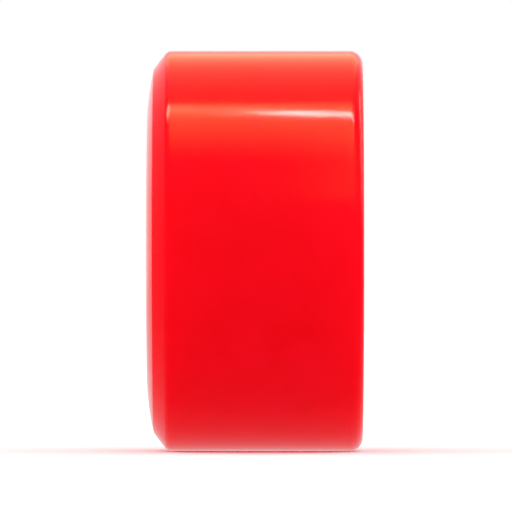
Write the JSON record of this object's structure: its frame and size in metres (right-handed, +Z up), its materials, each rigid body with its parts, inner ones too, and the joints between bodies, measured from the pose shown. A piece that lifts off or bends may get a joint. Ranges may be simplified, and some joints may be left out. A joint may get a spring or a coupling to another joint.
{
  "type": "roller skate wheel",
  "caption": "Quad roller skate wheel: a glossy red urethane tyre with one domed and one flat side, cast on a moulded hub that spins on shielded ball bearings.",
  "frame": {"origin": "centre of the wheel, on the axle's centre line and midway between the two sides of the tyre", "axes": "+Y along the axle towards the flat side of the tyre, +Z up, +X towards the picture's camera"},
  "size_m": [0.065, 0.035, 0.065],
  "materials": {
    "urethane": "glossy translucent cast urethane",
    "nylon": "moulded satin nylon",
    "spacer_steel": "turned steel",
    "ring_steel": "ground bearing steel",
    "ball_steel": "polished steel",
    "cage_steel": "pressed steel strip",
    "shield_steel": "pressed bright steel sheet",
    "spring_steel": "spring steel wire"
  },
  "bodies": {
    "axle_core": {"bearing_spacer": "spacer_steel", "left_inner_ring": "ring_steel", "right_inner_ring": "ring_steel"},
    "wheel": {"tyre": "urethane", "hub": "nylon", "left_outer_ring": "ring_steel", "left_inner_shield": "shield_steel", "left_outer_shield": "shield_steel", "left_inner_snap_ring": "spring_steel", "left_outer_snap_ring": "spring_steel", "right_outer_ring": "ring_steel", "right_inner_shield": "shield_steel", "right_outer_shield": "shield_steel", "right_inner_snap_ring": "spring_steel", "right_outer_snap_ring": "spring_steel"},
    "left_cage": {"left_cage_inner_half": "cage_steel", "left_cage_outer_half": "cage_steel", "left_cage_rivets": "cage_steel"},
    "left_ball_1": {"left_ball_1": "ball_steel"},
    "left_ball_2": {"left_ball_2": "ball_steel"},
    "left_ball_3": {"left_ball_3": "ball_steel"},
    "left_ball_4": {"left_ball_4": "ball_steel"},
    "left_ball_5": {"left_ball_5": "ball_steel"},
    "left_ball_6": {"left_ball_6": "ball_steel"},
    "left_ball_7": {"left_ball_7": "ball_steel"},
    "right_cage": {"right_cage_inner_half": "cage_steel", "right_cage_outer_half": "cage_steel", "right_cage_rivets": "cage_steel"},
    "right_ball_1": {"right_ball_1": "ball_steel"},
    "right_ball_2": {"right_ball_2": "ball_steel"},
    "right_ball_3": {"right_ball_3": "ball_steel"},
    "right_ball_4": {"right_ball_4": "ball_steel"},
    "right_ball_5": {"right_ball_5": "ball_steel"},
    "right_ball_6": {"right_ball_6": "ball_steel"},
    "right_ball_7": {"right_ball_7": "ball_steel"}
  },
  "joints": [
    {"name": "wheel_spin", "type": "hinge", "parent": "axle_core", "child": "wheel", "pos_m": [0, 0, 0], "axis": [0, 1, 0], "continuous": true},
    {"name": "left_cage_spin", "type": "hinge", "parent": "axle_core", "child": "left_cage", "pos_m": [0, -0.00865, 0], "axis": [0, 1, 0], "continuous": true},
    {"name": "left_ball_1_roll", "type": "hinge", "parent": "left_cage", "child": "left_ball_1", "pos_m": [0.0075, -0.00865, 0], "axis": [0, 1, 0], "continuous": true},
    {"name": "left_ball_2_roll", "type": "hinge", "parent": "left_cage", "child": "left_ball_2", "pos_m": [0.00468, -0.00865, -0.00586], "axis": [0, 1, 0], "continuous": true},
    {"name": "left_ball_3_roll", "type": "hinge", "parent": "left_cage", "child": "left_ball_3", "pos_m": [-0.00167, -0.00865, -0.00731], "axis": [0, 1, 0], "continuous": true},
    {"name": "left_ball_4_roll", "type": "hinge", "parent": "left_cage", "child": "left_ball_4", "pos_m": [-0.00676, -0.00865, -0.00325], "axis": [0, 1, 0], "continuous": true},
    {"name": "left_ball_5_roll", "type": "hinge", "parent": "left_cage", "child": "left_ball_5", "pos_m": [-0.00676, -0.00865, 0.00325], "axis": [0, 1, 0], "continuous": true},
    {"name": "left_ball_6_roll", "type": "hinge", "parent": "left_cage", "child": "left_ball_6", "pos_m": [-0.00167, -0.00865, 0.00731], "axis": [0, 1, 0], "continuous": true},
    {"name": "left_ball_7_roll", "type": "hinge", "parent": "left_cage", "child": "left_ball_7", "pos_m": [0.00468, -0.00865, 0.00586], "axis": [0, 1, 0], "continuous": true},
    {"name": "right_cage_spin", "type": "hinge", "parent": "axle_core", "child": "right_cage", "pos_m": [0, 0.00865, 0], "axis": [0, 1, 0], "continuous": true},
    {"name": "right_ball_1_roll", "type": "hinge", "parent": "right_cage", "child": "right_ball_1", "pos_m": [0.0075, 0.00865, 0], "axis": [0, 1, 0], "continuous": true},
    {"name": "right_ball_2_roll", "type": "hinge", "parent": "right_cage", "child": "right_ball_2", "pos_m": [0.00468, 0.00865, -0.00586], "axis": [0, 1, 0], "continuous": true},
    {"name": "right_ball_3_roll", "type": "hinge", "parent": "right_cage", "child": "right_ball_3", "pos_m": [-0.00167, 0.00865, -0.00731], "axis": [0, 1, 0], "continuous": true},
    {"name": "right_ball_4_roll", "type": "hinge", "parent": "right_cage", "child": "right_ball_4", "pos_m": [-0.00676, 0.00865, -0.00325], "axis": [0, 1, 0], "continuous": true},
    {"name": "right_ball_5_roll", "type": "hinge", "parent": "right_cage", "child": "right_ball_5", "pos_m": [-0.00676, 0.00865, 0.00325], "axis": [0, 1, 0], "continuous": true},
    {"name": "right_ball_6_roll", "type": "hinge", "parent": "right_cage", "child": "right_ball_6", "pos_m": [-0.00167, 0.00865, 0.00731], "axis": [0, 1, 0], "continuous": true},
    {"name": "right_ball_7_roll", "type": "hinge", "parent": "right_cage", "child": "right_ball_7", "pos_m": [0.00468, 0.00865, 0.00586], "axis": [0, 1, 0], "continuous": true}
  ],
  "couplings": [
    {"joint": "left_cage_spin", "follows": "wheel_spin", "ratio": 0.6323},
    {"joint": "left_ball_1_roll", "follows": "wheel_spin", "ratio": 1.7573},
    {"joint": "left_ball_2_roll", "follows": "wheel_spin", "ratio": 1.7573},
    {"joint": "left_ball_3_roll", "follows": "wheel_spin", "ratio": 1.7573},
    {"joint": "left_ball_4_roll", "follows": "wheel_spin", "ratio": 1.7573},
    {"joint": "left_ball_5_roll", "follows": "wheel_spin", "ratio": 1.7573},
    {"joint": "left_ball_6_roll", "follows": "wheel_spin", "ratio": 1.7573},
    {"joint": "left_ball_7_roll", "follows": "wheel_spin", "ratio": 1.7573},
    {"joint": "right_cage_spin", "follows": "wheel_spin", "ratio": 0.6323},
    {"joint": "right_ball_1_roll", "follows": "wheel_spin", "ratio": 1.7573},
    {"joint": "right_ball_2_roll", "follows": "wheel_spin", "ratio": 1.7573},
    {"joint": "right_ball_3_roll", "follows": "wheel_spin", "ratio": 1.7573},
    {"joint": "right_ball_4_roll", "follows": "wheel_spin", "ratio": 1.7573},
    {"joint": "right_ball_5_roll", "follows": "wheel_spin", "ratio": 1.7573},
    {"joint": "right_ball_6_roll", "follows": "wheel_spin", "ratio": 1.7573},
    {"joint": "right_ball_7_roll", "follows": "wheel_spin", "ratio": 1.7573}
  ]
}
